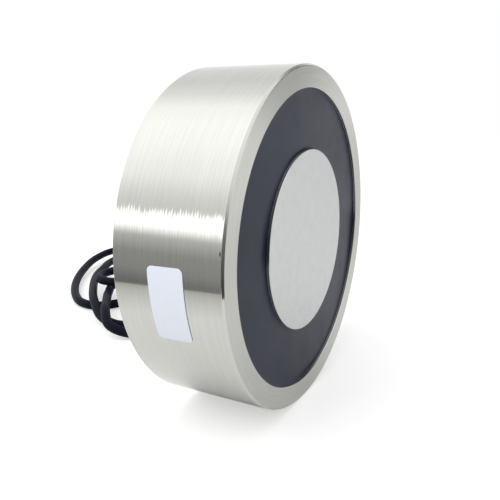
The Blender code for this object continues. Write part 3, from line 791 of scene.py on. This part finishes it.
put_on(thread, face_nickel, "nickel_plated_steel")
put_on(pot, side_nickel, "nickel_plated_steel", "pot_body")
pot.data.materials.append(face_nickel)
pot.data.materials.append(pole_nickel)
for face in pot.data.polygons:
    face_radius = math.hypot(face.center.x, face.center.z - AXIS_HEIGHT)
    if abs(face.normal.y) > FACED_COSINE:
        on_pole = face_radius < POLE_RADIUS and face.center.y < 0.0
        face.material_index = POLE_SLOT if on_pole else END_SLOT
pole_faces = sum(face.material_index == POLE_SLOT for face in pot.data.polygons)
print("faces on the pole:", pole_faces)

# %% [markdown]
# ## Potting resin
# The groove is topped up with black epoxy. It was liquid once, so it climbs the steel a little
# on both sides and lies almost level between. Its surface is smooth but not polished.

# %% The resin ring
RESIN_LOW, RESIN_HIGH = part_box("potting_resin")
RESIN_LEVEL_Y = RESIN_LOW.y + 0.0002
RESIN_CLIMB = 0.00035
CLIMB_WIDTH = 0.0007
CLIMB_REACH = 4 * CLIMB_WIDTH
CLIMB_STEPS = 8
CLIMB_CROWDING = 1.6
RESIN_GAP = 0.00002
RESIN_STEPS = 192

resin_inner = POLE_RADIUS + RESIN_GAP
resin_outer = GROOVE_RADIUS - RESIN_GAP
climb = []
for step in range(CLIMB_STEPS):
    reach = CLIMB_REACH * (step / (CLIMB_STEPS - 1)) ** CLIMB_CROWDING
    climb.append((reach, RESIN_LEVEL_Y - RESIN_CLIMB * math.exp(-reach / CLIMB_WIDTH)))
resin_profile = [(resin_inner + reach, y, 0.0) for reach, y in climb]
resin_profile += [(resin_outer - reach, y, 0.0) for reach, y in reversed(climb)]
resin_profile += [(resin_outer, RESIN_HIGH.y, 0.0), (resin_inner, RESIN_HIGH.y, 0.0)]
resin = mesh_object("resin", spun(resin_profile, AXIS_SPOT, ALONG_AXIS, RESIN_STEPS))
print("resin:", len(resin.data.polygons), "faces")

# %% Cast epoxy
CLOUD_MM = 11.1
RIPPLE_MM = 6.25


def cast_epoxy():
    made, tree, shader = new_finish("cast black epoxy", "#15171C", 0.3, specular=0.27)
    shader.inputs["Specular Tint"].default_value = linear("#C0D3FF")
    where = add_node(tree, "ShaderNodeTexCoord").outputs["Object"]
    cloud = add_node(tree, "ShaderNodeTexNoise", {
        "Vector": where, "Scale": 1000 / CLOUD_MM, "Detail": 3.0})
    ripple = add_node(tree, "ShaderNodeTexNoise", {
        "Vector": where, "Scale": 1000 / RIPPLE_MM, "Detail": 2.0})
    tone = add_node(tree, "ShaderNodeMix", {
        "Factor": cloud.outputs["Fac"], "A": linear("#131625"), "B": linear("#171A2B")},
        data_type="RGBA")
    gloss = add_node(tree, "ShaderNodeMapRange", {
        "Value": cloud.outputs["Fac"], "From Min": 0.3, "From Max": 0.7,
        "To Min": 0.28, "To Max": 0.36})
    height = add_node(tree, "ShaderNodeBump", {
        "Height": ripple.outputs["Fac"], "Strength": 0.4, "Distance": 0.0001})
    tree.links.new(tone.outputs["Result"], shader.inputs["Base Color"])
    tree.links.new(gloss.outputs["Result"], shader.inputs["Roughness"])
    tree.links.new(height.outputs["Normal"], shader.inputs["Normal"])
    return made


put_on(resin, cast_epoxy(), "black_potting_resin", "potting_resin")

# %% [markdown]
# ## Label
# A label of plain white film is stuck round the side, a little askew. It starts as a flat
# rectangle whose four corners are bevelled round. Cuts across it make it bend, and each vertex
# is then laid on the steel at its own angle. A thin wall is added outwards.

# %% The label
LABEL_WIDTH = 0.0122
LABEL_LENGTH = 0.0236
LABEL_CORNER = 0.0016
LABEL_THICKNESS = 0.00012
LABEL_ANGLE = 189.3
LABEL_Y_OFFSET = 0.0001
LABEL_TILT = math.radians(-1.7)
LABEL_STRIPS = 48
LABEL_LIFT = 0.00006

flat = bmesh.new()
bmesh.ops.create_grid(flat, x_segments=1, y_segments=1, size=0.5)
bmesh.ops.scale(flat, vec=(LABEL_WIDTH, LABEL_LENGTH, 1.0), verts=flat.verts)
bmesh.ops.bevel(
    flat, geom=flat.verts[:], offset=LABEL_CORNER, segments=6, profile=0.5,
    affect="VERTICES", material=-1)
for strip in range(1, LABEL_STRIPS):
    height = LABEL_LENGTH * (strip / LABEL_STRIPS - 0.5)
    bmesh.ops.bisect_plane(
        flat, geom=[*flat.verts, *flat.edges, *flat.faces], dist=MERGE,
        plane_co=(0.0, height, 0.0), plane_no=(0.0, 1.0, 0.0))
bmesh.ops.rotate(flat, verts=flat.verts, matrix=Matrix.Rotation(LABEL_TILT, 3, "Z"))
label_radius = POT_RADIUS + LABEL_LIFT
for vert in flat.verts:
    across, round_about = vert.co.x, vert.co.y
    degrees = LABEL_ANGLE - math.degrees(round_about / label_radius)
    vert.co = about_axis(label_radius, degrees, across - LABEL_Y_OFFSET)
label = mesh_object("label", flat)
skin = label.modifiers.new("thickness", "SOLIDIFY")
skin.thickness = LABEL_THICKNESS
skin.offset = 1.0
keep_faces_flat(label)
print("label:", len(label.data.polygons), "faces")

# %% Label film
FILM_CLOUD_MM = 3.33


def label_film():
    made, tree, shader = new_finish("white polyester film", "#EEF3FE", 0.5)
    where = add_node(tree, "ShaderNodeTexCoord").outputs["Object"]
    cloud = add_node(tree, "ShaderNodeTexNoise", {
        "Vector": where, "Scale": 1000 / FILM_CLOUD_MM, "Detail": 3.0})
    tone = add_node(tree, "ShaderNodeMix", {
        "Factor": cloud.outputs["Fac"], "A": linear("#F0F5FF"), "B": linear("#EBF1FC")},
        data_type="RGBA")
    gloss = add_node(tree, "ShaderNodeMapRange", {
        "Value": cloud.outputs["Fac"], "To Min": 0.42, "To Max": 0.58})
    tree.links.new(tone.outputs["Result"], shader.inputs["Base Color"])
    tree.links.new(gloss.outputs["Result"], shader.inputs["Roughness"])
    return made


put_on(label, label_film(), "white_label_film", "rating_label")

# %% [markdown]
# ## Pieces inside the magnet
# Behind the resin lie the bobbin, its winding and tape, and the splices. They keep the meshes
# of their solids, because nothing shows them, but each gets the finish of the real thing.

# %% Wound copper and film
# At a scale of 1, a wave texture passes 20 radians in each metre.
WIRE_PITCH_MM = 0.9
WIRE_SCALE = 1000 * 2 * math.pi / (20 * WIRE_PITCH_MM)
WRINKLE_MM = 2.5


def enamelled_copper():
    """Varnished copper wire, with the round of each turn as height and as painted shade and sheen.
    """
    made, tree, shader = new_finish("enamelled copper wire", "#B4632F", 0.3, metallic=1.0)
    where = add_node(tree, "ShaderNodeTexCoord").outputs["Object"]
    turns = add_node(tree, "ShaderNodeTexWave", {
        "Vector": where, "Scale": WIRE_SCALE, "Distortion": 0.4, "Detail": 1.0},
        bands_direction="Y")
    # Painted shade and sheen: each turn is darker in its groove and lighter on its crest.
    tone = add_node(tree, "ShaderNodeMix", {
        "Factor": turns.outputs["Fac"], "A": linear("#8E4A22"), "B": linear("#BD6B34")},
        data_type="RGBA")
    height = add_node(tree, "ShaderNodeBump", {
        "Height": turns.outputs["Fac"], "Distance": 0.0003})
    tree.links.new(tone.outputs["Result"], shader.inputs["Base Color"])
    tree.links.new(height.outputs["Normal"], shader.inputs["Normal"])
    shader.inputs["Coat Weight"].default_value = 0.6
    return made


def polyester_tape():
    """Thin amber film with faint wrinkles."""
    made, tree, shader = new_finish("amber polyester film", "#D9B045", 0.25)
    where = add_node(tree, "ShaderNodeTexCoord").outputs["Object"]
    wrinkles = add_node(tree, "ShaderNodeTexNoise", {
        "Vector": where, "Scale": 1000 / WRINKLE_MM, "Detail": 2.0, "Distortion": 1.0})
    tone = add_node(tree, "ShaderNodeMix", {
        "Factor": wrinkles.outputs["Fac"], "A": linear("#DDB650"), "B": linear("#CFA33A")},
        data_type="RGBA")
    height = add_node(tree, "ShaderNodeBump", {
        "Height": wrinkles.outputs["Fac"], "Strength": 0.4, "Distance": 0.0001})
    tree.links.new(tone.outputs["Result"], shader.inputs["Base Color"])
    tree.links.new(height.outputs["Normal"], shader.inputs["Normal"])
    return made


wire_copper = enamelled_copper()
tape_film = polyester_tape()

# %% Finish the hidden solids
HIDDEN_FINISHES = {
    "coil_bobbin": bobbin_nylon,
    "coil_winding": wire_copper,
    "start_wire_tail": wire_copper,
    "finish_wire_tail": wire_copper,
    "winding_tape": tape_film,
    "inner_core_a": red_pvc,
    "inner_core_b": black_pvc,
    "splice_sleeve_start": sleeve_polyolefin,
    "splice_sleeve_finish": sleeve_polyolefin,
}
for solid, finish in HIDDEN_FINISHES.items():
    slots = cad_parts[solid].data.materials
    slots.clear()
    slots.append(finish)
print("hidden solids finished:", len(HIDDEN_FINISHES))

# %% [markdown]
# ## Floor
# The magnet lies on a large sheet of white paper. The sheet's left edge mirrors in the steel as
# a line, and a strip along it carries painted shade, so it mirrors darker. Its front edge is near
# enough that the chamfer looks past it into the dark. The paper takes the shadow as any pale
# surface does. A photograph of a product shows such paper overexposed, so the camera and the
# reflections see it whiter than its light would make it: the camera by a little light of its
# own, the reflections by a whiter tone, which keeps the shadow under the magnet dark. What
# scatters light, and so lights the magnet, is the plain paper.

# %% Paper floor
PAPER_EDGE_SPOT = Vector((-0.1650, 0.071, 0.0))
PAPER_TURN = math.radians(-18.5)
PAPER_SIDE = 6.0
PAPER_FRONT = 0.17
PAPER_TONE = "#E1E1E1"
MIRRORED_TONE = "#FFFFFF"
# The tone of the painted shade along the sheet's left edge, as the reflections see it.
EDGE_PAINTED_SHADE_TONE = "#C6C6C0"
EDGE_SHADE = 0.07
SEEN_GLOW = 0.45

sheet = bmesh.new()
bmesh.ops.create_grid(sheet, x_segments=1, y_segments=1, size=PAPER_SIDE / 2)
bmesh.ops.translate(
    sheet, vec=(PAPER_SIDE / 2, PAPER_SIDE / 2 - PAPER_FRONT, 0.0), verts=sheet.verts)
bmesh.ops.rotate(sheet, verts=sheet.verts, matrix=Matrix.Rotation(PAPER_TURN, 3, "Z"))
bmesh.ops.translate(sheet, vec=PAPER_EDGE_SPOT, verts=sheet.verts)
floor = mesh_object("paper_floor", sheet)

paper, tree, shader = new_finish("white paper", PAPER_TONE, 0.9, specular=0.0)
rays = add_node(tree, "ShaderNodeLightPath")
seen = add_node(tree, "ShaderNodeMath", {
    0: rays.outputs["Is Camera Ray"], 1: rays.outputs["Is Transmission Ray"]},
    operation="MAXIMUM").outputs["Value"]
glow = add_node(tree, "ShaderNodeMath", {
    0: seen, 1: SEEN_GLOW}, operation="MULTIPLY").outputs["Value"]
from_edge = add_node(tree, "ShaderNodeVectorMath", {
    0: add_node(tree, "ShaderNodeTexCoord").outputs["Object"], 1: PAPER_EDGE_SPOT},
    operation="SUBTRACT").outputs["Vector"]
inwards = add_node(tree, "ShaderNodeVectorMath", {
    0: from_edge, 1: (math.cos(PAPER_TURN), math.sin(PAPER_TURN), 0.0)},
    operation="DOT_PRODUCT").outputs["Value"]
# Painted shade: the reflections see a strip along the sheet's left edge darker.
lit = add_node(tree, "ShaderNodeMapRange", {
    "Value": inwards, "From Max": EDGE_SHADE}).outputs["Result"]
mirrored_tone = add_node(tree, "ShaderNodeMix", {
    "Factor": lit, "A": linear(EDGE_PAINTED_SHADE_TONE), "B": linear(MIRRORED_TONE)},
    data_type="RGBA").outputs["Result"]
tone = add_node(tree, "ShaderNodeMix", {
    "Factor": rays.outputs["Is Glossy Ray"], "A": linear(PAPER_TONE),
    "B": mirrored_tone}, data_type="RGBA").outputs["Result"]
shader.inputs["Emission Color"].default_value = (1.0, 1.0, 1.0, 1.0)
tree.links.new(glow, shader.inputs["Emission Strength"])
tree.links.new(tone, shader.inputs["Base Color"])
floor.data.materials.append(paper)

# %% [markdown]
# ## Studio
# Polished steel looks like what stands round it. In a product studio that is a few long
# softboxes beside and above the object, with a darker room between them. Here they are painted
# on the world, by the angle about the magnet's axis, and only reflections see them: surfaces
# that scatter light get an almost even dome, and the camera sees white. A black flag, high to
# the front and right, takes the glare off the top of the pole face.

# %% World
DOME_BEFORE = 0.74
DOME_BEHIND = 0.76
BRIGHTEST = 2.0
SIDE_BLEND = 0.15
# Brightness by the angle about Y in degrees: from +X through the top to -X and the floor.
BEHIND = (
    (0, 0.85), (16, 0.95), (24, 0.9), (50, 0.92), (66, 1.13), (80, 1.5), (95, 1.6),
    (112, 1.57), (134, 1.37), (148, 1.05), (157.5, 0.93), (159.5, 1.86), (168.5, 1.86),
    (171.5, 1.35), (175, 0.7), (186, 0.4), (198, 0.36), (206, 0.24), (214, 0.14), (360, 0.3),
)
BEFORE = (
    (0, 1.2), (8, 1.2), (20, 1.15), (50, 1.08), (90, 1.3), (130, 1.0), (150, 0.7),
    (165, 0.32), (175, 0.22), (190, 0.17), (209, 0.1), (220, 0.06), (250, 0.1), (290, 0.85),
    (345, 1.05), (360, 1.2),
)

# The way to the flag, and the angles from there at which it is full and at which it ends.
FLAG_WAY = Vector((0.814, -0.415, 0.407))
FLAG_CORE = math.radians(10)
FLAG_EDGE = math.radians(27)
FLAG_LEVEL = 0.0

world = bpy.data.worlds.new("studio")
bpy.context.scene.world = world
world.use_nodes = True
world.cycles.sampling_method = "NONE"
sky = world.node_tree
toward = add_node(sky, "ShaderNodeTexCoord").outputs["Generated"]
axes = add_node(sky, "ShaderNodeSeparateXYZ", {"Vector": toward})
about = add_node(sky, "ShaderNodeMath", {
    0: axes.outputs["Z"], 1: axes.outputs["X"]}, operation="ARCTAN2").outputs["Value"]
turn = add_node(sky, "ShaderNodeMath", {
    0: about, 1: 2 * math.pi}, operation="DIVIDE").outputs["Value"]
share = add_node(sky, "ShaderNodeMath", {
    0: turn, 1: 0.0, 2: 1.0}, operation="WRAP").outputs["Value"]


def light_ramp(stops):
    """A ramp of greys over the full turn."""
    ramp = add_node(sky, "ShaderNodeValToRGB", {"Fac": share})
    elements = ramp.color_ramp.elements
    elements.remove(elements[1])
    for index, (degrees, level) in enumerate(stops):
        stop = elements[0] if index == 0 else elements.new(degrees / 360)
        stop.position = degrees / 360
        stop.color = (*(3 * (level / BRIGHTEST,)), 1.0)
    return ramp.outputs["Color"]


side_of = add_node(sky, "ShaderNodeMapRange", {
    "Value": axes.outputs["Y"], "From Min": -SIDE_BLEND, "From Max": SIDE_BLEND}).outputs["Result"]
flag_near = add_node(sky, "ShaderNodeVectorMath", {
    0: toward, 1: FLAG_WAY}, operation="DOT_PRODUCT").outputs["Value"]
flag = add_node(sky, "ShaderNodeMapRange", {
    "Value": flag_near, "From Min": math.cos(FLAG_EDGE), "From Max": math.cos(FLAG_CORE),
    "To Min": 1.0, "To Max": FLAG_LEVEL}, interpolation_type="SMOOTHSTEP").outputs["Result"]
softboxes = add_node(sky, "ShaderNodeMix", {
    "Factor": side_of, "A": light_ramp(BEFORE), "B": light_ramp(BEHIND)},
    data_type="RGBA").outputs["Result"]
flagged = add_node(sky, "ShaderNodeVectorMath", {
    0: softboxes, "Scale": flag}, operation="SCALE").outputs["Vector"]
bright = add_node(sky, "ShaderNodeVectorMath", {
    0: flagged, "Scale": BRIGHTEST}, operation="SCALE").outputs["Vector"]
sky_rays = add_node(sky, "ShaderNodeLightPath")
dome = add_node(sky, "ShaderNodeMix", {
    "Factor": side_of, "A": (*(3 * (DOME_BEFORE,)), 1.0), "B": (*(3 * (DOME_BEHIND,)), 1.0)},
    data_type="RGBA").outputs["Result"]
mirrored = add_node(sky, "ShaderNodeMix", {
    "Factor": sky_rays.outputs["Is Glossy Ray"], "A": dome, "B": bright},
    data_type="RGBA").outputs["Result"]
watched = add_node(sky, "ShaderNodeMath", {
    0: sky_rays.outputs["Is Camera Ray"], 1: sky_rays.outputs["Is Transmission Ray"]},
    operation="MAXIMUM").outputs["Value"]
backdrop = add_node(sky, "ShaderNodeMix", {
    "Factor": watched, "A": mirrored, "B": (1.0, 1.0, 1.0, 1.0)},
    data_type="RGBA").outputs["Result"]
sky.links.new(backdrop, sky.nodes["Background"].inputs["Color"])

# %% Key lamp
LAMP_SPOT = Vector((-0.55, 0.30, 1.0))
LAMP_SIDE = 0.9
LAMP_WATTS = 5.4

lamp_data = bpy.data.lights.new("overhead_softbox", "AREA")
lamp_data.shape = "SQUARE"
lamp_data.size = LAMP_SIDE
lamp_data.energy = LAMP_WATTS
lamp = bpy.data.objects.new("overhead_softbox", lamp_data)
lamp.location = LAMP_SPOT
lamp.rotation_euler = (AXIS_SPOT - LAMP_SPOT).to_track_quat("-Z", "Y").to_euler()
lamp.visible_glossy = False
bpy.context.scene.collection.objects.link(lamp)

# %% View
bpy.context.scene.view_settings.view_transform = "Standard"
